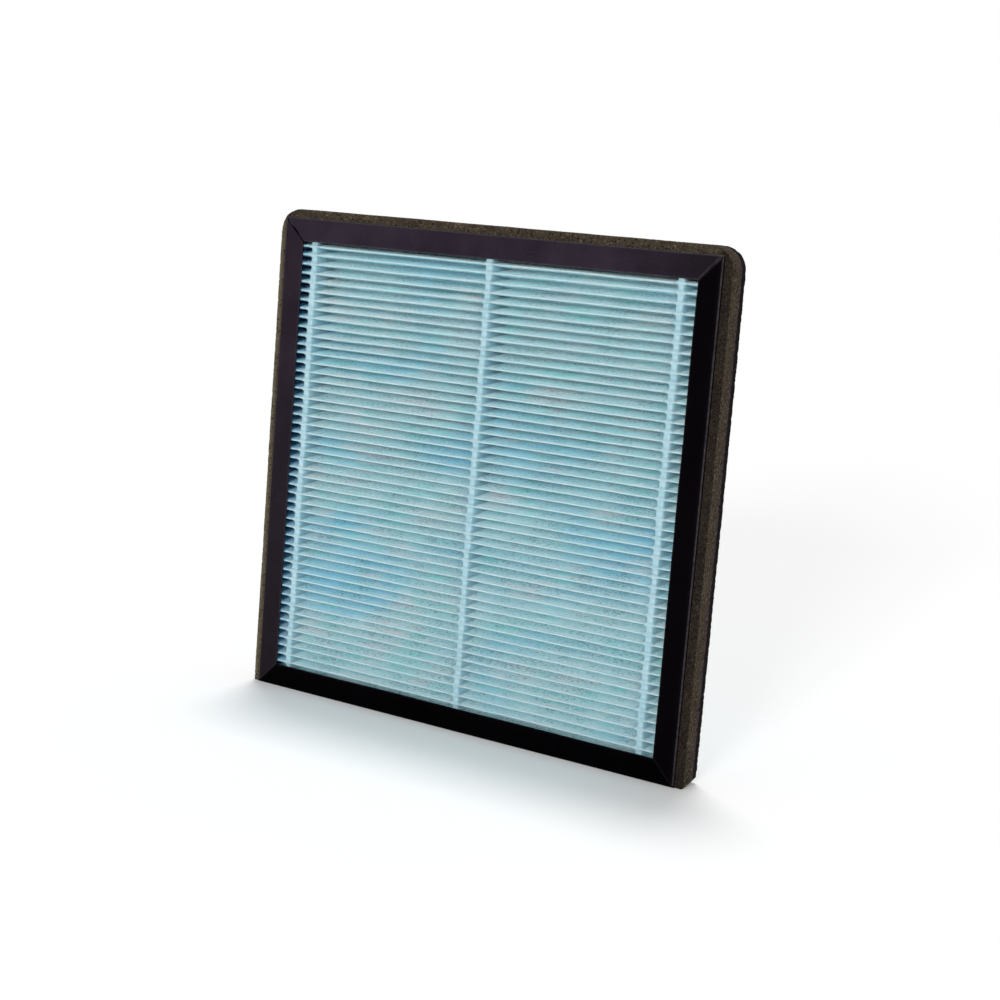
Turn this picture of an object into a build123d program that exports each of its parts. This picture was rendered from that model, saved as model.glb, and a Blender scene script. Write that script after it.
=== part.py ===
"""Framed pleated air filter panel, standing on its bottom edge.

The front face looks towards -Y, +Z is up, and the origin is the middle of the bottom face.
One nonwoven sheet is folded into horizontal V pleats. Hot-melt beads space the pleats on both
faces, glue beds seal the pack into a frame of four folded board channels with mitred flanges,
and a foam strip is taped round the left side, the top and the right side.
"""

import os
from math import asin, atan2, cos, hypot, sin, sqrt, tan

from build123d import *

# Frame of four folded board channels
frame_width = 285.0
frame_height = 280.0
frame_depth = 20.0
flange_width = 13.3
board_thickness = 0.8
fold_radius = 1.0
mitre_gap = 0.3

# Pleated sheet
pleat_count = 53
media_thickness = 0.45
crease_width = 0.7
tip_clearance = 0.3

# Glue
side_bed_thickness = 2.0
end_bed_thickness = 2.0
bead_width = 3.5
bead_spacing = 120.0
bead_sink = 1.0
bead_shoulder = 0.9

# Foam strip and its tape
tape_thickness = 0.2
tape_width = 15.0
foam_thickness = 4.8
foam_width = 17.0
foam_corner_radius = 13.5
foam_edge_radius = 0.9
foam_end_rise = 4.0

# Worked out from the sizes above
channel_depth = frame_depth - 2 * board_thickness
inner_width = frame_width - 2 * board_thickness
inner_height = frame_height - 2 * board_thickness
inner_fold_radius = fold_radius - board_thickness
pack_width = inner_width - 2 * side_bed_thickness
pack_height = inner_height - 2 * end_bed_thickness
pleat_pitch = pack_height / pleat_count
half_pitch = pleat_pitch / 2
half_crease = crease_width / 2
foam_outside = tape_thickness + foam_thickness

# Each wall leans by wall_angle, so that the sheet keeps its thickness from a flat crease on one face
# to the sharp crease behind it on the other
tip = channel_depth / 2 - tip_clearance
wall_reach = hypot(2 * tip, half_pitch - crease_width)
wall_angle = atan2(half_pitch - crease_width, 2 * tip) + asin(media_thickness / wall_reach)
crease_stack = (media_thickness - half_crease * cos(wall_angle)) / sin(wall_angle)
valley = tip - crease_stack
first_ridge = frame_height / 2 + pack_height / 2 - half_pitch
front_ridges = [first_ridge - number * pleat_pitch for number in range(pleat_count)]
rear_ridges = [height - half_pitch for height in front_ridges[:-1]]

os.makedirs("parts", exist_ok=True)


def save(piece, name):
    """Label a finished piece and write it under its own name."""
    piece.label = name
    export_step(piece, f"parts/{name}.step")


def channel_plane(middle, outward):
    """Plane across a frame strip: x over the frame's depth, y out of the frame, z along the strip."""
    return Plane(origin=middle, x_dir=(0, 1, 0), z_dir=Vector(0, 1, 0).cross(Vector(*outward)))


def channel_strip(across, side_length, web_length):
    """One folded board channel whose flanges are mitred at the frame's corners."""
    with BuildPart() as strip:
        with BuildSketch(across.offset(-web_length / 2)) as profile:
            with Locations((0, -flange_width / 2)):
                Rectangle(frame_depth, flange_width)
            fillet(profile.vertices().group_by(Axis.Y)[-1], fold_radius)
            with Locations((0, -flange_width / 2 - board_thickness)):
                Rectangle(channel_depth, flange_width, mode=Mode.SUBTRACT)
            fillet(profile.vertices().group_by(Axis.Y)[-2], inner_fold_radius)
        extrude(amount=web_length)

        # The flanges stop short of the 45 degree line from the frame's corner by half the mitre gap
        mitre_start = side_length / 2 - mitre_gap / sqrt(2)
        with BuildSketch(Plane(across.origin, x_dir=across.z_dir, z_dir=-across.x_dir)):
            with BuildLine():
                Polyline(
                    (mitre_start - board_thickness, -board_thickness),
                    (side_length, -board_thickness),
                    (side_length, -2 * flange_width),
                    (mitre_start - 2 * flange_width, -2 * flange_width),
                    close=True,
                )
            make_face()
            mirror(about=Plane.YZ)
        extrude(amount=frame_depth, both=True, mode=Mode.SUBTRACT)
    return strip.part


def wall_height(ridge, depth):
    """Height of the sheet's upper face on the wall that rises to the rear from a front ridge's crease."""
    return ridge + half_crease + (depth + tip) * tan(wall_angle)


def sheet_face(ridges):
    """Points down the side of the sheet that its front ridges are on: flat creases and sharp valleys."""
    points = []
    for ridge in ridges:
        points += [(-tip, ridge + half_crease), (-tip, ridge - half_crease)]
        points.append((valley, ridge - half_pitch))
    return points[:-1]


def glue_face(ridges):
    """Points down the front of a bead: a thin film over each crease, and a lower fill between them."""
    film = -channel_depth / 2
    fill = -tip + bead_sink
    points = []
    for ridge in ridges:
        points.append((fill, ridge + half_crease + bead_shoulder))
        points += [(film, ridge + half_crease), (film, ridge - half_crease)]
        points.append((fill, ridge - half_crease - bead_shoulder))
    return points[1:-1]


# Frame: the top and bottom webs run the full width, and the side webs stand between them
strips = {
    "frame_top": ((0, 0, frame_height), (0, 0, 1), frame_width, frame_width),
    "frame_bottom": ((0, 0, 0), (0, 0, -1), frame_width, frame_width),
    "frame_left": ((-frame_width / 2, 0, frame_height / 2), (-1, 0, 0), frame_height, inner_height),
    "frame_right": ((frame_width / 2, 0, frame_height / 2), (1, 0, 0), frame_height, inner_height),
}
for name, (middle, outward, side_length, web_length) in strips.items():
    save(channel_strip(channel_plane(middle, outward), side_length, web_length), name)

# Pleated sheet: the rear side is the front side turned round, half a pitch lower and one ridge shorter
last_ridge = front_ridges[-1]
rear_flange = channel_depth / 2
end_rise = wall_height(0, rear_flange)
end_thickness = media_thickness / cos(wall_angle)
rear_side = [(-y, z) for y, z in sheet_face(rear_ridges)]
with BuildPart() as pleated_media:
    with BuildSketch(Plane.YZ.offset(-pack_width / 2)):
        with BuildLine():
            Polyline(
                (rear_flange, first_ridge + end_rise),
                *sheet_face(front_ridges),
                (rear_flange, last_ridge - end_rise),
                (rear_flange, last_ridge - end_rise + end_thickness),
                (-valley, last_ridge),
                *reversed(rear_side),
                (-valley, first_ridge),
                (rear_flange, first_ridge + end_rise - end_thickness),
                close=True,
            )
        make_face()
    extrude(amount=pack_width)
save(pleated_media.part, "pleated_media")


def bead(middle_x, ridges, face):
    """One separator line over the whole pack, on the front face or, turned round, on the rear face."""
    with BuildPart() as line:
        with BuildSketch(Plane.YZ.offset(middle_x - bead_width / 2)):
            with BuildLine():
                Polyline(*sheet_face(ridges), *reversed(glue_face(ridges)), close=True)
            make_face()
        extrude(amount=bead_width)
        if face == "rear":
            mirror(about=Plane.XZ, mode=Mode.REPLACE)
    return line.part


bead_places = {"left": -bead_spacing, "centre": 0.0, "right": bead_spacing}
for face, ridges in (("front", front_ridges), ("rear", rear_ridges)):
    for place, middle_x in bead_places.items():
        save(bead(middle_x, ridges, face), f"{face}_bead_{place}")

# Glue beds under the first and the last pleat, from the end wall of the sheet to the web
web_face = frame_height - board_thickness
first_crease = first_ridge + half_crease
with BuildPart() as sealant_top:
    with BuildSketch(Plane.YZ.offset(-pack_width / 2)) as bed_profile:
        with BuildLine():
            Polyline(
                (-rear_flange, web_face),
                (rear_flange, web_face),
                (rear_flange, first_ridge + end_rise),
                (-tip, first_crease),
                (-rear_flange, first_crease),
                close=True,
            )
        make_face()
        fillet(bed_profile.vertices().group_by(Axis.Y)[-1], inner_fold_radius)
    extrude(amount=pack_width)
save(sealant_top.part, "sealant_top")

middle_height = Plane.XY.offset(frame_height / 2)
with BuildPart() as sealant_bottom:
    mirror(sealant_top.part, about=middle_height)
save(sealant_bottom.part, "sealant_bottom")

# Glue beds over the cut pleat ends, which fill the side channels
with BuildPart() as sealant_right:
    with BuildSketch(Plane.XY.offset(board_thickness + inner_fold_radius)) as bed_profile:
        with Locations((pack_width / 2 + side_bed_thickness / 2, 0)):
            Rectangle(side_bed_thickness, channel_depth)
        fillet(bed_profile.vertices().group_by(Axis.X)[-1], inner_fold_radius)
    extrude(amount=inner_height - 2 * inner_fold_radius)
save(sealant_right.part, "sealant_right")

with BuildPart() as sealant_left:
    mirror(sealant_right.part, about=Plane.YZ)
save(sealant_left.part, "sealant_left")


def arch(inside, outside, corner_radius):
    """Front outline of a strip bent over the frame. It lies between two distances from the frame's sides."""
    with BuildSketch(Plane.XZ) as outline:
        Rectangle(frame_width + 2 * outside, 2 * (frame_height + outside))
        if corner_radius:
            fillet(outline.vertices(), corner_radius)
        Rectangle(frame_width + 2 * inside, 2 * (frame_height + inside), mode=Mode.SUBTRACT)
        with Locations((0, -frame_height)):
            Rectangle(2 * frame_width, 2 * frame_height, mode=Mode.SUBTRACT)
    return outline.sketch


# What the slanting cut took off the strip's right end, which stands higher at the rear
with BuildPart() as end_offcut:
    with BuildSketch(Plane.YZ.offset(frame_width / 2)):
        with BuildLine():
            Polyline(
                (-foam_width / 2, 0),
                (foam_width / 2, foam_end_rise),
                (foam_width / 2, -foam_end_rise),
                (-foam_width / 2, -foam_end_rise),
                close=True,
            )
        make_face()
    extrude(amount=2 * foam_outside)

# Sealing strip: an adhesive tape on the frame, and the foam bent round over it
with BuildPart() as gasket_tape:
    extrude(arch(0, tape_thickness, 0), amount=tape_width / 2, both=True)
    add(end_offcut.part, mode=Mode.SUBTRACT)
save(gasket_tape.part, "gasket_tape")

foam_middle = tape_thickness + foam_thickness / 2
with BuildPart() as foam_gasket:
    extrude(arch(tape_thickness, foam_outside, foam_corner_radius), amount=foam_width / 2, both=True)
    rim = foam_gasket.edges().filter_by(Axis.Y, reverse=True)
    straight_rim = rim.filter_by(
        lambda edge: abs((edge @ 0.5).X) > frame_width / 2 + foam_middle
        or (edge @ 0.5).Z > frame_height + foam_middle
    )
    fillet(straight_rim + rim.filter_by(GeomType.CIRCLE), foam_edge_radius)
    add(end_offcut.part, mode=Mode.SUBTRACT)
save(foam_gasket.part, "foam_gasket")
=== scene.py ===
import itertools
from math import cos, pi, radians, sin, sqrt

import bpy
import numpy as np
from mathutils import Matrix, Vector


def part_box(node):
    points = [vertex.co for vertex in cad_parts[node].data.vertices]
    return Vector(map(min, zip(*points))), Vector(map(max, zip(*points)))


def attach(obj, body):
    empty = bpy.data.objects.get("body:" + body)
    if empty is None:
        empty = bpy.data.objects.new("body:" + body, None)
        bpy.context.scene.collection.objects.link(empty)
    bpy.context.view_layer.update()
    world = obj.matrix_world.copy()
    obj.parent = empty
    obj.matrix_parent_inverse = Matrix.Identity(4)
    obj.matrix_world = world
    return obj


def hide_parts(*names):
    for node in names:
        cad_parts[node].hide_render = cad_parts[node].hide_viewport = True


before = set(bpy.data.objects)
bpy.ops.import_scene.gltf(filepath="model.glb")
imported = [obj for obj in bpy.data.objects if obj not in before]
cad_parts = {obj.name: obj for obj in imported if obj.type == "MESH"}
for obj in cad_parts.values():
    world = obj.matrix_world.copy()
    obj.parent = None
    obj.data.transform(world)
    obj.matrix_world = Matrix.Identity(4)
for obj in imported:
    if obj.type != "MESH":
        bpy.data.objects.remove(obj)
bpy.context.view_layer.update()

# A framed pleated air filter panel, standing on its bottom edge with its front towards -Y. The sheet, the
# glue lines, the board strips and the foam strip are lofted here, and stand for plainer CAD nodes. The glue
# beds and the tape are the CAD nodes themselves. Lengths are in millimetres, and MM turns them into metres.
MM = 0.001


def extent(node):
    """Width, depth and height of a CAD node, to a thousandth of a millimetre."""
    low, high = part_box(node)
    return [round((b - a) / MM, 3) for a, b in zip(low, high)]


# The board frame, whose side webs stand between its top and bottom webs
WIDTH, DEPTH, FLANGE = extent("frame_top")
BOARD = round(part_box("frame_left")[0].z / MM, 3)
HEIGHT = extent("frame_left")[2] + 2 * BOARD
CHANNEL = DEPTH / 2 - BOARD
OUTER_FOLD, INNER_FOLD = 1.0, 0.2

# The pleated pack, with glue beds of one thickness on all four sides
PLEATS, MEDIA = 53, 0.45
PACK_WIDTH = extent("pleated_media")[0]
PACK_HEIGHT = HEIGHT - (WIDTH - PACK_WIDTH)
PITCH = PACK_HEIGHT / PLEATS
FIRST_RIDGE = HEIGHT / 2 + PACK_HEIGHT / 2 - PITCH / 2
TIP = CHANNEL - 0.3       # the creases stay clear of the flanges
CREASE_RADIUS = 0.30      # to the middle of the sheet
SKEW = 0.9                # how far the pleats lean at the two sides of the lower half
EDGE_GAP, END_GAP = 0.02, 0.25      # beside the sheet's cut edges, and behind its two ends
ARC_POINTS, WALL_POINTS, COLUMNS = 5, 1, 77
BEAD_XS = {"left": -121.8, "centre": 0.0, "right": 118.8}

# The tape and the foam strip
TAPE = (extent("gasket_tape")[0] - WIDTH) / 2
FOAM = (extent("foam_gasket")[0] - WIDTH) / 2 - TAPE
FOAM_WIDTH = extent("foam_gasket")[1]
FOAM_CORNER, FOAM_RIM, FOAM_END_RISE = 13.5, 1.3, 4.0
FOAM_STEP = 0.85          # between stations, fine enough for its open cells

# Two odd numbers that scatter the bits of the seeded noise
FIRST_FACTOR, SECOND_FACTOR = np.uint64(0x9E3779B97F4A7C15), np.uint64(0xBF58476D1CE4E5B9)


def hashed(seed, cells):
    """A number from 0 to 1 for each lattice cell, scattered but the same on every run."""
    value = np.full(np.shape(cells[0]), seed, np.uint64)
    for cell in cells:
        value = (value ^ np.asarray(cell, np.int64).astype(np.uint64)) * FIRST_FACTOR
        value ^= value >> np.uint64(29)
        value *= SECOND_FACTOR
        value ^= value >> np.uint64(32)
    # The top 53 of the 64 bits become the fraction
    return (value >> np.uint64(11)).astype(float) / 2.0 ** 53


def noise(seed, *coords):
    """Smooth noise from -1 to 1, with one bump for each unit of the coordinates."""
    coords = np.broadcast_arrays(*[np.asarray(c, float) for c in coords])
    cells = [np.floor(c) for c in coords]
    fades = [(c - cell) ** 2 * (3 - 2 * (c - cell)) for c, cell in zip(coords, cells)]
    total = np.zeros(coords[0].shape)
    for corner in itertools.product((0, 1), repeat=len(coords)):
        weight = np.ones(coords[0].shape)
        for fade, far in zip(fades, corner):
            weight = weight * (fade if far else 1 - fade)
        total += weight * hashed(seed, [cell + far for cell, far in zip(cells, corner)])
    return 2 * total - 1


def smooth(start, stop, value):
    """0 before start and 1 past stop, with a smooth rise between. Start may be the higher of the two."""
    t = np.clip((np.asarray(value, float) - start) / (stop - start), 0, 1)
    return t * t * (3 - 2 * t)


def loft(name, rings, material, sharp, attributes=None):
    """A closed skin through rings of equal length, creased where it turns by more than sharp degrees.

    A ring is one side out and the other side back, so that its first point pairs with its last, and the two
    end rings are closed by strips between the pairs.
    """
    count, size = rings.shape[:2]
    points = rings.reshape(-1, 3) * MM
    ring, here = np.meshgrid(np.arange(count - 1), np.arange(size), indexing="ij")
    beside = (here + 1) % size
    corners = [ring * size + here, ring * size + beside, (ring + 1) * size + beside, (ring + 1) * size + here]
    skin = np.stack(corners, -1).reshape(-1, 4)
    out = np.arange(size // 2 - 1)
    cap = np.stack([out, size - 1 - out, size - 2 - out, out + 1], -1)
    quads = np.concatenate([skin, cap, cap[:, ::-1] + (count - 1) * size])

    # The faces look outwards if the volume that they enclose is positive
    triangles = np.concatenate([quads[:, [0, 1, 2]], quads[:, [0, 2, 3]]])
    a, b, c = (points[triangles[:, corner]] for corner in range(3))
    if (a * np.cross(b, c)).sum() < 0:
        quads = quads[:, ::-1]

    mesh = bpy.data.meshes.new(name)
    mesh.from_pydata(points.tolist(), [], quads.tolist())
    mesh.update()
    for key, values in (attributes or {}).items():
        layer = mesh.attributes.new(key, "FLOAT", "POINT")
        layer.data.foreach_set("value", values.astype(np.float32).ravel())
    mesh.polygons.foreach_set("use_smooth", [True] * len(mesh.polygons))
    mesh.set_sharp_from_angle(angle=radians(sharp))
    mesh.materials.append(material)
    piece = bpy.data.objects.new(name, mesh)
    bpy.context.scene.collection.objects.link(piece)
    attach(piece, "root")
    return piece


class Nodes:
    """A short way to write one node material. Its scales and lengths are for metres."""

    def __init__(self, name):
        self.material = bpy.data.materials.new(name)
        self.material.use_nodes = True
        self.tree = self.material.node_tree
        self.tree.nodes.clear()
        self.out = self.add("ShaderNodeOutputMaterial")
        self.place = self.add("ShaderNodeTexCoord").outputs["Object"]

    def add(self, kind, **settings):
        node = self.tree.nodes.new(kind)
        for key, value in settings.items():
            setattr(node, key, value)
        return node

    def link(self, source, target):
        """Link another node's socket, or set a plain value."""
        if isinstance(source, bpy.types.NodeSocket):
            self.tree.links.new(source, target)
        else:
            target.default_value = source

    def axis(self, name):
        node = self.add("ShaderNodeSeparateXYZ")
        self.link(self.place, node.inputs[0])
        return node.outputs[name]

    def depth(self):
        """Distance from the middle of the panel's depth, the same to the front and to the rear."""
        return self.math("ABSOLUTE", self.axis("Y"))

    def attribute(self, name):
        return self.add("ShaderNodeAttribute", attribute_name=name).outputs["Fac"]

    def scaled(self, x, y, z):
        """The place with its axes scaled. Under 1, what is drawn there gets longer that way."""
        node = self.add("ShaderNodeMapping")
        self.link(self.place, node.inputs["Vector"])
        node.inputs["Scale"].default_value = (x, y, z)
        return node.outputs["Vector"]

    def noise(self, scale, detail=3.0, rough=0.55, warp=0.0, vector=None):
        node = self.add("ShaderNodeTexNoise")
        self.link(vector or self.place, node.inputs["Vector"])
        node.inputs["Scale"].default_value = scale
        node.inputs["Detail"].default_value = detail
        node.inputs["Roughness"].default_value = rough
        node.inputs["Distortion"].default_value = warp
        return node.outputs["Fac"]

    def cells(self, scale, feature="F1"):
        node = self.add("ShaderNodeTexVoronoi", feature=feature)
        self.link(self.place, node.inputs["Vector"])
        node.inputs["Scale"].default_value = scale
        return node.outputs["Distance"]

    def band(self, value, start, stop, low=0.0, high=1.0):
        """From start to stop, value becomes low to high, and stays within them."""
        node = self.add("ShaderNodeMapRange")
        self.link(value, node.inputs["Value"])
        for key, number in zip(("From Min", "From Max", "To Min", "To Max"), (start, stop, low, high)):
            node.inputs[key].default_value = number
        return node.outputs["Result"]

    def math(self, operation, value, *others):
        """The operation on one value, or on it and each of the others in turn."""
        for other in others or (0.0,):
            node = self.add("ShaderNodeMath", operation=operation)
            self.link(value, node.inputs[0])
            self.link(other, node.inputs[1])
            value = node.outputs["Value"]
        return value

    def mix(self, factor, under, over):
        node = self.add("ShaderNodeMix", data_type="RGBA")
        self.link(factor, node.inputs[0])
        for colour, target in ((under, node.inputs[6]), (over, node.inputs[7])):
            self.link(colour if isinstance(colour, bpy.types.NodeSocket) else (*colour, 1.0), target)
        return node.outputs[2]

    def bump(self, height, distance, strength, under=None):
        node = self.add("ShaderNodeBump")
        self.link(height, node.inputs["Height"])
        node.inputs["Distance"].default_value = distance
        node.inputs["Strength"].default_value = strength
        if under:
            self.link(under, node.inputs["Normal"])
        return node.outputs["Normal"]

    def finish(self, colour, roughness, normal, **constants):
        """One Principled shader, with an underscore for each space in the names of its other sockets."""
        shader = self.add("ShaderNodeBsdfPrincipled")
        self.link(colour, shader.inputs["Base Color"])
        self.link(roughness, shader.inputs["Roughness"])
        self.link(normal, shader.inputs["Normal"])
        for key, value in constants.items():
            shader.inputs[key.replace("_", " ")].default_value = value
        self.link(shader.outputs["BSDF"], self.out.inputs["Surface"])
        return self.material


def times(factor, colour):
    """The colour made lighter or darker."""
    return tuple(factor * c for c in colour)


def board_material(name, painted_light_level, gloss, rubbed_and_highlit, fade):
    """Black coated board: satin, faintly purple, with a fine grain, and rubbed where it is folded or cut. Each
    strip's copy carries painted light and shade in its tone, gloss and darkening, and its folds a painted
    highlight.
    """
    n = Nodes(name)
    # The level is painted light and shade: each strip's copy is lighter or darker by how the light falls on it
    low, high = times(painted_light_level, (0.62, 0.40, 0.70)), times(painted_light_level, (1.10, 0.76, 1.20))
    tone = n.mix(n.band(n.noise(38, 4), 0.35, 0.68), low, high)
    # Painted shade: the strip darkens along one axis, towards the right end of the top strip and the foot of
    # the left strip
    if fade:
        axis, start, stop = fade
        tone = n.mix(n.band(n.axis(axis), start * MM, stop * MM, 0.0, 0.8), tone, times(0.1, low))
    tone = n.mix(n.band(n.noise(900, 4, 0.7), 0.56, 0.72, 0.0, 0.5), tone, times(2.2, high))
    dust = n.math("MULTIPLY", n.band(n.cells(520), 0.12, 0.05), n.band(n.noise(55, 2), 0.55, 0.75, 0.0, 0.35))
    tone = n.mix(dust, tone, (0.05, 0.045, 0.05))
    # Pale where folded or cut: wear, and on the folds a painted highlight as well
    rub_and_highlight = n.math("MULTIPLY", n.attribute("edge"), n.band(n.noise(420, 5, 0.65), 0.32, 0.60, 0.35, 0.95))
    tone = n.mix(rub_and_highlight, tone, rubbed_and_highlit)
    roughness = n.band(n.noise(140, 5, 0.6), 0.3, 0.7, 0.36, 0.46)
    grain = n.bump(n.noise(1600, 3, 0.6), 0.06 * MM, 0.5)
    normal = n.bump(n.noise(60, 2), 0.6 * MM, 0.35, grain)
    return n.finish(tone, roughness, normal, Specular_IOR_Level=gloss, Specular_Tint=(1.0, 0.78, 1.0, 1.0))


def media_material():
    """Pale blue nonwoven: soft fibres, blotches of blue, grey-pink and teal, and dark flecks in the folds.
    Painted shade lies in the folds, on the creases, beside the left flange and under the top flange.
    """
    n = Nodes("media_blue")
    along = n.scaled(0.35, 1.0, 1.0)
    tone = n.mix(n.band(n.noise(26, 4, 0.6, 0.4, along), 0.36, 0.66), (0.57, 0.89, 0.95), (0.69, 0.93, 0.97))
    blotches = (
        ((0.37, 0.80, 0.97), 17, 0.6, 1.3, 0.48, 0.66, 0.9),
        ((0.86, 0.88, 0.91), 64, 0.3, 1.0, 0.54, 0.68, 0.75),
        ((0.36, 0.87, 0.86), 88, 0.0, 1.0, 0.56, 0.68, 0.75),
    )
    for colour, scale, warp, height_scale, start, stop, strength in blotches:
        blotch = n.noise(scale, 3, 0.5, warp, n.scaled(0.5, 1.0, height_scale))
        tone = n.mix(n.band(blotch, start, stop, 0.0, strength), tone, colour)
    fibres = n.noise(850, 4, 0.7, 1.2, along)
    tone = n.mix(n.band(fibres, 0.50, 0.70, 0.0, 0.30), tone, (0.80, 0.96, 0.98))

    # Dark flecks come in patches. They gather deep in the folds as painted shade and thin out towards the
    # creases
    depth = n.depth()
    fleck = n.band(n.noise(900, 3, 0.7, 0.5, n.scaled(0.6, 0.6, 1.0)), 0.50, 0.60)
    patch = n.band(n.noise(58, 3, 0.6), 0.38, 0.60, 0.12, 0.9)
    fleck = n.math("MULTIPLY", fleck, patch, n.band(depth, 8.2 * MM, 6.2 * MM, 0.15, 1.0))
    tone = n.mix(fleck, tone, (0.24, 0.42, 0.46))
    # Painted shade: the creases are greyer, to even out the light between the crests and the deep folds
    crest_shade = n.band(n.noise(210, 3, 0.6, 0.0, along), 0.25, 0.6, 0.6, 1.0)
    tone = n.mix(n.math("MULTIPLY", n.band(depth, 7.2 * MM, 8.8 * MM), crest_shade), tone, (0.44, 0.65, 0.73))

    # Outside the left glue line the sheet is painted bluer and darker, as the shade under the left flange.
    # Under the flanges it is soaked with dark glue, and at the top this dark reaches just out from under the
    # flange as painted shade
    side, height = n.axis("X"), n.axis("Z")
    left_bead, opening, opening_top = BEAD_XS["left"], WIDTH / 2 - FLANGE, HEIGHT - FLANGE
    left_slot_shade = n.band(side, (left_bead - 2.2) * MM, (left_bead - 5.7) * MM, 0.0, 0.7)
    tone = n.mix(left_slot_shade, tone, (0.26, 0.60, 0.88))
    at_sides = n.band(n.math("ABSOLUTE", side), (opening + 3.3) * MM, (opening + 5.3) * MM)
    at_sides = n.math("MULTIPLY", at_sides, n.band(depth, 6.2 * MM, 7.4 * MM))
    at_top = n.band(height, (opening_top - 0.7) * MM, (opening_top + 0.9) * MM)
    at_bottom = n.band(height, (FLANGE - 1.8) * MM, (FLANGE - 3.8) * MM)
    tone = n.mix(n.math("MAXIMUM", at_sides, at_top, at_bottom), tone, (0.012, 0.014, 0.020))

    roughness = n.band(n.noise(300, 4), 0.3, 0.7, 0.82, 0.96)
    fuzz = n.bump(fibres, 0.18 * MM, 0.8)
    normal = n.bump(n.noise(240, 3, 0.6, 0.5, n.scaled(0.5, 1.0, 1.0)), 0.4 * MM, 0.5, fuzz)
    return n.finish(tone, roughness, normal, Specular_IOR_Level=0.2, Sheen_Weight=0.12, Sheen_Roughness=0.5,
                    Subsurface_Weight=0.6, Subsurface_Radius=(0.85, 0.97, 1.0), Subsurface_Scale=3 * MM)


def glue_material(name, low, high, fleck, scatter, inside=None):
    """Hot-melt glue: waxy and lumpy, and of another tone deep inside, where it wets the sheet."""
    n = Nodes(name)
    tone = n.mix(n.band(n.noise(110, 4, 0.6), 0.36, 0.66), low, high)
    tone = n.mix(n.band(n.noise(900, 3, 0.6), 0.60, 0.72, 0.0, 0.5), tone, fleck)
    if inside:
        tone = n.mix(n.band(n.depth(), 7.8 * MM, 6.2 * MM), tone, inside)
    roughness = n.band(n.noise(260, 4), 0.3, 0.7, 0.30, 0.55)
    normal = n.bump(n.noise(420, 3, 0.6, 0.4), 0.3 * MM, 0.6)
    return n.finish(tone, roughness, normal, Specular_IOR_Level=0.45, Subsurface_Weight=scatter,
                    Subsurface_Radius=(0.9, 0.95, 1.0), Subsurface_Scale=2 * MM)


def tape_material():
    """The foam's adhesive tape: a thin off-white film with a faint weave of reinforcing threads."""
    n = Nodes("tape_film")
    threads = n.noise(700, 2, 0.5, 0.0, n.scaled(1.0, 0.15, 1.0))
    tone = n.mix(n.band(threads, 0.4, 0.62), (0.42, 0.38, 0.30), (0.58, 0.54, 0.44))
    tone = n.mix(n.band(n.noise(60, 4), 0.5, 0.7, 0.0, 0.6), tone, (0.34, 0.29, 0.22))
    roughness = n.band(n.noise(180), 0.3, 0.7, 0.30, 0.5)
    return n.finish(tone, roughness, n.bump(threads, 0.1 * MM, 0.6), Specular_IOR_Level=0.5)


def foam_material():
    """Brown-black open-cell foam: pores painted near black as shade, between tan cell walls with painted
    glints. Painted light falls on its left side, and painted shade on its cut front face and rear edge.
    """
    n = Nodes("foam_brown")
    along_depth, side = n.axis("Y"), n.axis("X")
    tone = n.mix(n.band(n.noise(34, 4, 0.6), 0.36, 0.66), (0.040, 0.029, 0.019), (0.074, 0.058, 0.038))
    tone = n.mix(n.band(along_depth, -3.0 * MM, 1.0 * MM, 0.0, 0.9), tone, (0.050, 0.036, 0.038))
    # Painted light: the outer left side is a lighter olive, as if lit from the left
    left_painted_light = n.band(side, -(WIDTH / 2 + 0.7) * MM, -(WIDTH / 2 + 3.3) * MM)
    tone = n.mix(n.math("MULTIPLY", left_painted_light, 0.85), tone, (0.185, 0.165, 0.105))

    # The cut front face is darker: a face cut through the cells, and painted shade, most of all on the right
    front = -FOAM_WIDTH / 2
    cut = n.band(along_depth, (front + 1.5) * MM, (front + 0.8) * MM)
    cut = n.math("MULTIPLY", cut, n.band(side, 138 * MM, 142 * MM, 0.30, 1.0),
                 n.band(n.noise(120, 3), 0.35, 0.65, 0.78, 0.97))
    tone = n.mix(cut, tone, (0.008, 0.005, 0.005))

    cell_edges = n.cells(900, "DISTANCE_TO_EDGE")
    tone = n.mix(n.math("MULTIPLY", n.band(cell_edges, 0.14, 0.02), 0.4), tone, (0.115, 0.090, 0.062))
    glint = n.math("MULTIPLY", n.band(n.noise(800, 3, 0.7), 0.57, 0.66), n.band(cut, 0.0, 1.0, 0.75, 0.12))
    tone = n.mix(glint, tone, (0.24, 0.19, 0.12))
    # Pores painted near black, as the shade inside the open cells
    pore_centres = n.cells(480)
    pore_shade = n.math("MULTIPLY", n.band(pore_centres, 0.42, 0.14), n.band(n.noise(90), 0.35, 0.65, 0.5, 1.0))
    tone = n.mix(pore_shade, tone, (0.005, 0.003, 0.003))
    # More painted shade on the cut front face, laid over the cell walls and glints
    tone = n.mix(n.math("MULTIPLY", cut, 0.45), tone, (0.006, 0.004, 0.004))
    # Painted shade: the rear edge of the outside is near black, as if turned away from the light
    rear_edge_shade = n.math("MULTIPLY", n.band(along_depth, 2.4 * MM, 3.6 * MM), 0.95)
    tone = n.mix(rear_edge_shade, tone, (0.0035, 0.002, 0.0028))

    roughness = n.band(n.noise(200), 0.3, 0.7, 0.82, 0.97)
    normal = n.bump(pore_centres, 0.8 * MM, 0.9, n.bump(cell_edges, -0.4 * MM, 0.8))
    return n.finish(tone, roughness, normal, Specular_IOR_Level=0.10)


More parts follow.
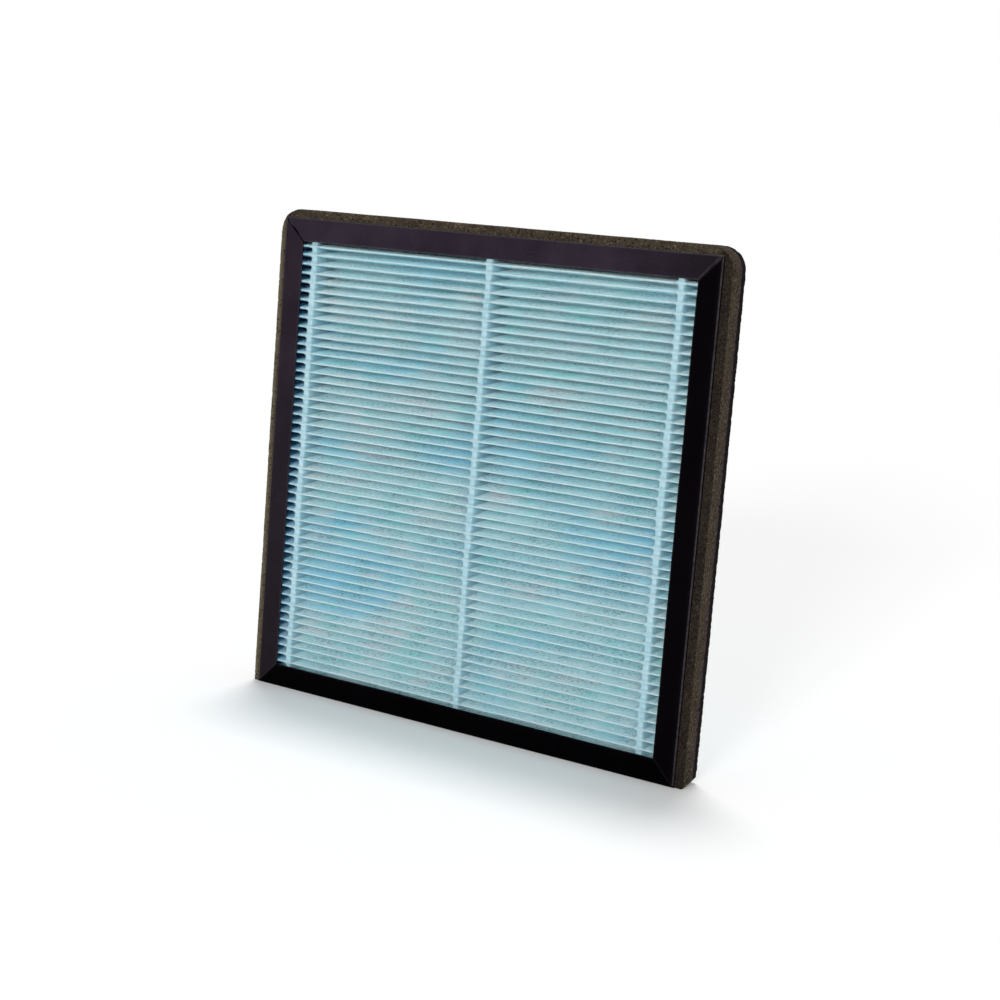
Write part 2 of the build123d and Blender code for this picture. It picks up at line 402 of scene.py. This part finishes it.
# Each strip's tone and gloss, its colour where it is rubbed, and the axis and places between which it darkens.
# Tone, gloss and darkening are painted light and shade, lit on the top and left strips and near black on the
# right and bottom; the rubbed colour is wear and, on the folds, a painted highlight.
BOARD_SHADED_LOOKS = {
    "top": (0.021, 0.12, (0.055, 0.045, 0.055), ("X", 75, 140)),
    "left": (0.018, 0.10, (0.034, 0.027, 0.033), ("Z", 230, 20)),
    "right": (0.0010, 0.02, (0.062, 0.054, 0.062), None),
    "bottom": (0.0008, 0.01, (0.010, 0.009, 0.012), None),
}
shaded_boards = {place: board_material(f"board_{place}", *look) for place, look in BOARD_SHADED_LOOKS.items()}
media = media_material()
bead_glue = glue_material("glue_bead", (0.36, 0.58, 0.66), (0.45, 0.65, 0.72), (0.32, 0.50, 0.57), 0.5)
# The glue beds are dark glue, near black, which also paints the shade seen through the mitre gaps
bed_glue = glue_material("glue_bed", (0.010, 0.009, 0.011), (0.020, 0.018, 0.021), (0.05, 0.05, 0.05), 0.0,
                         (0.16, 0.34, 0.48))
tape = tape_material()
foam = foam_material()

for name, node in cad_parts.items():
    node.data.materials.clear()
    node.data.materials.append(tape if name == "gasket_tape" else bed_glue)


def fold_centres(x):
    """y and z of each fold's centre, front and rear in turn, for each x: an array of (x, fold, 2)."""
    x = x[:, None]
    number = np.arange(2 * PLEATS - 1)[None, :]
    front = number % 2 == 0
    z = FIRST_RIDGE - number * PITCH / 2

    # 1 on a glue line, which holds the folds, and 0 away from it
    held = np.max([np.exp(-((x - bead_x) / 6.0) ** 2) for bead_x in BEAD_XS.values()], axis=0)

    # Folds lean in the lower half, wander along their length and are unevenly spaced, but not at the ends
    lean = SKEW * x / (PACK_WIDTH / 2) * smooth(HEIGHT - 20, HEIGHT * 0.45, z) * smooth(4, 34, z)
    free = smooth(2, 12, z) * smooth(HEIGHT - 2, HEIGHT - 12, z)
    wave = 0.16 * noise(11, x / 52, number * 0.31) + 0.12 * noise(12, x / 21, number * 0.9) * (1 - 0.6 * held)
    step = 0.20 * noise(13, number, 0) * np.where(front, 1, 0.5)
    sag = 0.13 * noise(14, x / 33, number) + 0.06 * noise(15, x / 11, number * 1.3) + 0.10 * held * front
    reach = TIP - CREASE_RADIUS - MEDIA / 2
    y = np.where(front, sag - reach, reach - sag)
    return np.stack([y, z + lean + free * (wave + step)], -1)


def sheet_side(x, offset, wall_points):
    """Points down the sheet at each x, on its front face for a positive offset from its middle.

    The path starts at the rear above the first fold. It goes down a wall to each fold, with wall_points on the
    way, round the fold with ARC_POINTS, and ends at the rear below the last one.
    """
    centres = fold_centres(x)
    folds = centres.shape[1]
    ends = centres[:, [0, -1]].copy()
    ends[:, :, 0] = CHANNEL - END_GAP
    ends[:, 0, 1] += PITCH / 2 + CREASE_RADIUS
    ends[:, 1, 1] -= PITCH / 2 + CREASE_RADIUS
    stops = np.concatenate([ends[:, :1], centres, ends[:, 1:]], axis=1)

    # Each wall's direction, as the line that touches the crease before it and the one after
    wall = np.arange(folds + 1)
    delta_y, delta_z = np.moveaxis(np.diff(stops, axis=1), -1, 0)
    reach = np.where((wall == 0) | (wall == folds), CREASE_RADIUS, 2 * CREASE_RADIUS)
    turn = np.arcsin(reach / np.hypot(delta_y, delta_z))
    angle = np.arctan2(delta_z, delta_y) + np.where(wall % 2 == 1, turn, -turn)
    beside = offset * np.stack([np.sin(angle), -np.cos(angle)], -1)

    # Round each fold, over its front at an even number and over its rear at an odd one
    side = np.where(wall[:-1] % 2 == 0, 1, -1)[:, None]
    share = np.linspace(0, 1, ARC_POINTS)
    theta = angle[:, :-1, None] - side * pi / 2 + np.diff(angle, axis=1)[..., None] * share
    spokes = np.stack([np.cos(theta), np.sin(theta)], -1)
    arcs = centres[:, :, None, :] + (CREASE_RADIUS + side * offset)[..., None] * spokes

    # Down each wall, which bows a little. The last one lies on its glue bed and bows less
    first, last = stops[:, :1] + beside[:, :1], stops[:, -1:] + beside[:, -1:]
    leave = np.concatenate([first, arcs[:, :, -1]], axis=1)[:, :, None, :]
    arrive = np.concatenate([arcs[:, :, 0], last], axis=1)[:, :, None, :]
    share = (np.arange(wall_points) + 1) / (wall_points + 1)
    walls = leave + (arrive - leave) * share[:, None]
    bow = 0.14 * noise(21, x[:, None] / 26, wall) + 0.05 * noise(22, x[:, None] / 9, wall) * (wall < folds)
    walls[..., 1] += bow[..., None] * np.sin(pi * share)

    between = np.concatenate([walls[:, :-1], arcs], axis=2).reshape(len(x), -1, 2)
    return np.concatenate([first, between, walls[:, -1], last], axis=1)


def sheet_columns():
    """x of the sheet's columns, closer together beside the glue lines and at the two cut edges."""
    half = PACK_WIDTH / 2 - EDGE_GAP
    even = np.linspace(-half, half, 1201)
    density = 1 + 1.6 * sum(np.exp(-((even - bead_x) / 7.0) ** 2) for bead_x in BEAD_XS.values())
    density += np.exp(-((np.abs(even) - half) / 5.0) ** 2)
    passed = np.concatenate([[0], np.cumsum((density[1:] + density[:-1]) / 2)])
    return np.interp(np.linspace(0, passed[-1], COLUMNS), passed, even)


def pleated_sheet():
    """The folded sheet. The path along the middle of its thickness is found too, and not used."""
    columns = sheet_columns()
    front, rear = (sheet_side(columns, offset, WALL_POINTS) for offset in (MEDIA / 2, -MEDIA / 2))
    path = np.concatenate([front, rear[:, ::-1]], axis=1)
    x = np.broadcast_to(columns[:, None, None], path.shape[:2] + (1,))
    media_sheet = loft("media_sheet", np.concatenate([x, path], axis=-1), media, 75)
    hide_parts("pleated_media")
    middle = sheet_side(np.array([0.0]), 0.0, WALL_POINTS)[0]


pleated_sheet()

# The glue lines that space the pleats: how far they sink into the sheet, how far their film stands in front
# of a crease and their fill behind it, half their width, and the corner between their front and their sides
BEAD_SINK, BEAD_FILM, BEAD_FILL, BEAD_HALF, BEAD_CORNER = 0.07, 0.22, 0.62, 1.95, 1.0
BEAD_WALL_POINTS = 3


def wetting(distance):
    """How much wider the glue gets towards a wall of the sheet, at a distance from it."""
    return 2.1 * np.exp(-0.42 * distance)


def glue_line(name, bead_x, face, seed):
    """One line of glue over all pleats: a film on each crease, filled valleys, and sides that spread out."""
    side, first_fold = (1, 0) if face == "front" else (-1, 1)
    column = np.array([bead_x])
    back = sheet_side(column, side * (MEDIA / 2 - BEAD_SINK), BEAD_WALL_POINTS)[0]
    start = 1 + BEAD_WALL_POINTS + first_fold * (ARC_POINTS + BEAD_WALL_POINTS)
    back = back[start:-start - 1]
    y, z = back[:, 0] * side, back[:, 1]

    # The glue's front follows the nearest crease, and lies deeper between two creases
    creases = fold_centres(column)[0][first_fold::2]
    distance = np.abs(z[:, None] - creases[None, :, 1])
    crest_y = creases[distance.argmin(1), 0] * side - CREASE_RADIUS - MEDIA / 2
    film = crest_y - BEAD_FILM - 0.05 * noise(seed, z / 7)
    fill = crest_y + BEAD_FILL + 0.34 * noise(seed + 1, z / 6.5, 0)
    front_y = np.minimum(film + (fill - film) * smooth(0.35, 1.75, distance.min(1)), y - 0.05)
    half = BEAD_HALF + 0.22 * noise(seed + 2, z / 9) + 0.16 * noise(seed + 3, z / 2.3)
    middle_x = bead_x + 0.30 * noise(seed + 4, z / 30) + 0.10 * noise(seed + 5, z / 5)

    # Half a section, from the sheet up one side, round the corner and to the middle of the front
    thickness = y - front_y
    corner = np.minimum(BEAD_CORNER, thickness / 2)
    section = []
    for share in (1.0, 0.66, 0.33):
        at = front_y + corner + (thickness - corner) * share
        section.append((-half - wetting(y - at), at))
    for turn in (15, 45, 72):
        t = radians(turn)
        across = corner - half - (corner + wetting(thickness)) * cos(t)
        section.append((across, front_y + corner * (1 - sin(t))))
    section.append((-0.45 * half, front_y - 0.03))
    section += [(-across, at) for across, at in reversed(section)]
    rings = np.stack([np.stack([middle_x + across, at * side, z], -1) for across, at in section], axis=1)
    return loft(name, rings, bead_glue, 80)


for face, (number, place) in itertools.product(("front", "rear"), enumerate(BEAD_XS)):
    seed = 100 + 10 * number + (50 if face == "rear" else 0)
    line = glue_line(f"glue_line_{face}_{place}", BEAD_XS[place], face, seed)
    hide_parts(f"{face}_bead_{place}")


# The board strips
STATIONS = 91
CUT_EDGE = 0.9            # how wide a flange is rubbed along its cut edge
BEVEL_WIDTH, BEVEL_DEPTH = 0.14, 0.10
WEB_GAP = 0.02            # at each end of a web
PROUD = 0.36              # how far a flange may stand out of the frame's depth


def board_face(depth, skin, fold, tip_y, bevel):
    """One face of a channel, from one flange's cut edge to the other's: (y, distance in from the outer edge).

    It lies at a depth from the middle and at a skin from the outer edge, and turns there with a fold radius.
    It starts at tip_y on the cut edge, and may be bevelled there.
    """
    face = [(tip_y, FLANGE), (-depth, FLANGE - bevel), (-depth, FLANGE - CUT_EDGE)]
    face += [(-depth, FLANGE * share) for share in (0.72, 0.45, 0.22)]
    face += [(-depth + fold * (1 - cos(t)), skin + fold * (1 - sin(t))) for t in np.linspace(0, pi / 2, 6)]
    face += [(-depth * share, skin) for share in (0.6, 0.2)]
    return face + [(-y, inward) for y, inward in reversed(face)]


# For each end of each strip: how far the flange stands back from the mitre line at its outer end and at its
# inner end, how far it stands up off the pack there, and how pale its cut edge is
CORNERS = {
    ("top", -1): (0.85, 0.42, 0.0, 0.0), ("left", 1): (0.75, 0.38, 0.0, 0.0),
    ("top", 1): (0.60, 0.03, 0.36, 1.0), ("right", 1): (0.12, 0.06, 0.0, 0.5),
    ("bottom", -1): (0.12, 0.07, 0.10, 0.2), ("left", -1): (0.14, 0.09, 0.0, 0.4),
    ("bottom", 1): (0.07, 0.05, 0.06, 0.2), ("right", -1): (0.07, 0.05, 0.0, 0.15),
}

# Each strip's middle, the ways out of the frame and along the strip, the length of the frame's side and of
# the strip's web, and how pale the flanges' inner edges are
WEB_HEIGHT = HEIGHT - 2 * BOARD
STRIPS = {
    "top": ((0, 0, HEIGHT), (0, 0, 1), (1, 0, 0), WIDTH, WIDTH, 1.0),
    "bottom": ((0, 0, 0), (0, 0, -1), (1, 0, 0), WIDTH, WIDTH, 1.0),
    "left": ((-WIDTH / 2, 0, HEIGHT / 2), (-1, 0, 0), (0, 0, 1), HEIGHT, WEB_HEIGHT, 1.0),
    "right": ((WIDTH / 2, 0, HEIGHT / 2), (1, 0, 0), (0, 0, 1), HEIGHT, WEB_HEIGHT, 0.25),
}


def board_strip(place, seed):
    """One folded board channel with mitred flanges that ripple a little and lift at some corners."""
    *vectors, side_length, web_length, inner_edge = STRIPS[place]
    middle, outward, along = (np.array(vector, float) for vector in vectors)
    outer_face = board_face(DEPTH / 2, 0.0, OUTER_FOLD, BEVEL_WIDTH - DEPTH / 2, 0.0)
    inner_face = board_face(CHANNEL, BOARD, INNER_FOLD, -CHANNEL - BEVEL_WIDTH, BEVEL_DEPTH)
    y, inward = np.array(outer_face + inner_face[::-1]).T

    # Stations crowd towards the ends, where the flanges stop at their mitres and the web runs on
    share = np.linspace(-1, 1, STATIONS)[:, None]
    share = np.sign(share) * (1 - (1 - np.abs(share)) ** 1.25)
    web_end = web_length / 2 - WEB_GAP
    reach = {}
    for end in (-1, 1):
        outer_gap, inner_gap = CORNERS[place, end][:2]
        gap = outer_gap + (inner_gap - outer_gap) * np.clip(inward / FLANGE, 0, 1)
        mitre = np.minimum(side_length / 2 - inward - gap * sqrt(2), web_end)
        reach[end] = np.where(inward <= BOARD + 0.01, web_end, mitre)
    station = share * np.where(share > 0, reach[1], reach[-1])

    # The flanges ripple and lift, and their edges and the web aren't quite straight
    flange, face = smooth(1.5, FLANGE, inward), np.sign(y)
    lift = 0
    for end in (-1, 1):
        rise = CORNERS[place, end][2] * np.where(face < 0, 1, 0.5)
        lift = lift + rise * smooth(side_length / 2 - 34, side_length / 2 - 4, station * end)
    ripple = 0.10 * noise(seed, station / 38, face * 3) + 0.04 * noise(seed + 1, station / 12, face * 3)
    depth = y + face * flange * (np.minimum(ripple, 0.12) + lift)
    depth = np.clip(depth, -DEPTH / 2 - PROUD, DEPTH / 2 + PROUD)
    sway = 0.12 * noise(seed + 2, station / 45, face * 3) + 0.05 * noise(seed + 3, station / 9, face)
    dent = 0.05 * (1 + noise(seed + 4, station / 30, y / 6))
    across = inward + flange * sway + (1 - smooth(0.0, 1.6, inward)) * dent
    to_rear = np.array([0, 1, 0])
    rings = middle + station[..., None] * along - across[..., None] * outward + depth[..., None] * to_rear

    # The folds and the cut edges are rubbed pale: wear, and on the folds a painted highlight as well
    fold = np.exp(-((inward - 0.25) / 0.40) ** 2) * (np.abs(y) > CHANNEL + 0.1)
    cut = 0.8 * smooth(FLANGE - CUT_EDGE, FLANGE, inward)
    edge = np.maximum(fold, cut) * np.where(inward > FLANGE / 2, inner_edge, 1.0)
    edge = np.tile(edge, (len(station), 1))
    edge[0], edge[-1] = CORNERS[place, -1][3], CORNERS[place, 1][3]
    return loft(f"board_{place}", rings, shaded_boards[place], 32, {"edge": edge})


for number, place in enumerate(STRIPS):
    piece = board_strip(place, 300 + 20 * number)
    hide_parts(f"frame_{place}")


def foam_path():
    """Stations along the foam, from the foot of the left side over the top to the foot of the right side.

    Each has a point (x, z) on the tape and one on the outside, as two arrays.
    """
    side_in, side_out = WIDTH / 2 + TAPE, WIDTH / 2 + TAPE + FOAM
    top_in, top_out = HEIGHT + TAPE, HEIGHT + TAPE + FOAM
    bend_x, bend_z = FOAM_CORNER - side_out, top_out - FOAM_CORNER
    up = np.arange(0, bend_z, FOAM_STEP)
    inner = [(-side_in, z) for z in up]
    outer = [(-side_out, z) for z in up]
    for turn in np.linspace(0, pi / 2, int(FOAM_CORNER * pi / 2 / FOAM_STEP)):
        outer.append((bend_x - FOAM_CORNER * cos(turn), bend_z + FOAM_CORNER * sin(turn)))
        past = 4 * turn / pi - 1      # -1 at the start of the bend, 0 at the frame's corner, 1 at the end
        if past < 0:
            inner.append((-side_in, top_in + (top_in - bend_z) * past))
        else:
            inner.append((-side_in + (bend_x + side_in) * past, top_in))
    over = np.arange(bend_x + FOAM_STEP, 0, FOAM_STEP)
    inner += [(x, top_in) for x in over]
    outer += [(x, top_out) for x in over]
    return [np.array(half + [(-x, z) for x, z in reversed(half)]) for half in (inner, outer)]


def foam_section():
    """(share of the thickness, y) over the front face, the rounded rim, the outside and back to the tape."""
    half = FOAM_WIDTH / 2
    front = [(share, -half) for share in (0.0, 0.14, 0.28, 0.42, 0.56, 0.69)]
    for turn in (10, 35, 60, 82):
        t = radians(turn)
        front.append((1 - FOAM_RIM / FOAM * (1 - sin(t)), -half + FOAM_RIM * (1 - cos(t))))
    outside = [(1.0, y) for y in np.linspace(-half + FOAM_RIM, half - FOAM_RIM, 28)[1:-1]]
    return np.array(front + outside + [(share, -y) for share, y in reversed(front)])


def foam_strip():
    """The foam round three sides of the frame, with open cells where it shows and a plain back."""
    inner, outer = foam_path()
    share, y = foam_section().T
    half = FOAM_WIDTH / 2
    back = np.linspace(half - 0.3, 0.3 - half, len(share))
    share = np.concatenate([share, np.zeros(len(share))])
    thick = outer - inner
    x, z = np.moveaxis(inner[:, None, :] + thick[:, None, :] * share[:, None], -1, 0)
    y = np.broadcast_to(np.concatenate([y, back]), x.shape)

    # Open cells and a slow swell, which push the outside and the two cut faces in
    pits = 0.6 * noise(501, x / 1.1, y / 1.1, z / 1.1) + 0.4 * noise(502, x / 0.62, y / 0.62, z / 0.62)
    swell = 0.16 * noise(503, x / 16, y / 9, z / 16)
    inward = 0.16 - swell / 2 + 0.45 * np.clip(-pits, 0, 1) - 0.08 * np.clip(pits, 0, 1)
    inward = inward * smooth(0.0, 0.12, share)
    way_out = thick / np.hypot(thick[:, 0], thick[:, 1])[:, None]
    outside = inward * np.clip((share - 0.75) / 0.25, 0, 1)
    x, z = x - way_out[:, :1] * outside, z - way_out[:, 1:] * outside
    y = y - np.sign(y) * inward * (np.abs(np.abs(y) - half) < FOAM_RIM)

    # The right end is cut on the slant, higher at the rear, and the left end square
    slant = FOAM_END_RISE * (y + half) / FOAM_WIDTH
    z = np.maximum(z, 0) + smooth(60, 0, z) * slant * (x > 0)
    return loft("foam_strip", np.stack([x, y, z], -1), foam, 70)


piece = foam_strip()
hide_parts("foam_gasket")

# The floor's half size in metres, its grey, and the glow that lifts it towards plain white where it is seen
FLOOR_SIZE, FLOOR_GREY, FLOOR_LIFT = 4.0, 0.90, 0.10


def floor():
    """A plain pale floor that keeps the panel's shadow."""
    n = Nodes("floor_white")
    diffuse = n.add("ShaderNodeBsdfDiffuse")
    diffuse.inputs["Color"].default_value = (FLOOR_GREY, FLOOR_GREY, FLOOR_GREY, 1)
    glow = n.add("ShaderNodeEmission")
    rays = n.add("ShaderNodeLightPath").outputs
    seen = n.math("MAXIMUM", rays["Is Camera Ray"], rays["Is Glossy Ray"], rays["Is Transmission Ray"])
    n.link(n.math("MULTIPLY", seen, FLOOR_LIFT), glow.inputs["Strength"])
    both = n.add("ShaderNodeAddShader")
    n.link(diffuse.outputs[0], both.inputs[0])
    n.link(glow.outputs[0], both.inputs[1])
    n.link(both.outputs[0], n.out.inputs["Surface"])

    corners = [(-1, -1), (1, -1), (1, 1), (-1, 1)]
    mesh = bpy.data.meshes.new("floor")
    mesh.from_pydata([(FLOOR_SIZE * x, FLOOR_SIZE * y, 0.0) for x, y in corners], [], [(0, 1, 2, 3)])
    mesh.materials.append(n.material)
    ground = bpy.data.objects.new("floor", mesh)
    bpy.context.scene.collection.objects.link(ground)


def soft_sun(name, azimuth, elevation, width, strength):
    """A wide soft lamp far away, with its angles in degrees. Azimuth 0 is in front and 90 on the right."""
    data = bpy.data.lights.new(name, "SUN")
    data.angle, data.energy = radians(width), strength
    lamp = bpy.data.objects.new(name, data)
    a, e = radians(azimuth), radians(elevation)
    towards = Vector((sin(a) * cos(e), -cos(a) * cos(e), sin(e)))
    lamp.location = towards * 2
    lamp.rotation_euler = (-towards).to_track_quat("-Z", "Y").to_euler()
    bpy.context.scene.collection.objects.link(lamp)


def studio_world(light, seen):
    """Even white light from all round, and another strength where the camera sees it."""
    world = bpy.data.worlds.new("studio")
    bpy.context.scene.world = world
    world.use_nodes = True
    tree = world.node_tree
    tree.nodes.clear()
    out = tree.nodes.new("ShaderNodeOutputWorld")
    sky = tree.nodes.new("ShaderNodeBackground")
    rays = tree.nodes.new("ShaderNodeLightPath")
    strength = tree.nodes.new("ShaderNodeMapRange")
    sky.inputs["Color"].default_value = (1.0, 1.0, 1.0, 1.0)
    strength.inputs["To Min"].default_value = light
    strength.inputs["To Max"].default_value = seen
    tree.links.new(rays.outputs["Is Camera Ray"], strength.inputs["Value"])
    tree.links.new(strength.outputs["Result"], sky.inputs["Strength"])
    tree.links.new(sky.outputs[0], out.inputs[0])


# The camera stands where the photograph's perspective puts it, right of the panel and above its middle
CAMERA_PLACE = (0.5738, -0.8825, 0.2952)
ROLL, PITCH_DOWN, YAW = radians(-4.601), radians(8.751), radians(-32.379)
SENSOR_WIDTH, FOCAL_LENGTH = 36.0, 68.28


def add_camera():
    turn = Matrix.Rotation(ROLL, 3, "Z") @ Matrix.Rotation(PITCH_DOWN, 3, "X") @ Matrix.Rotation(YAW, 3, "Y")
    # The rows are the camera's axes with y up. In the scene z is up
    axes = Matrix([(x, -z, y) for x, y, z in turn])
    data = bpy.data.cameras.new("camera")
    data.sensor_width, data.lens = SENSOR_WIDTH, FOCAL_LENGTH
    camera = bpy.data.objects.new("camera", data)
    camera.matrix_world = Matrix.Translation(CAMERA_PLACE) @ axes.transposed().to_4x4()
    bpy.context.scene.collection.objects.link(camera)
    bpy.context.scene.camera = camera


floor()
soft_sun("key", 12, 12, 14, 1.6)
soft_sun("back", -150, 74, 16, 1.6)
studio_world(0.42, 1.0)
add_camera()
bpy.context.scene.view_settings.view_transform = "Standard"
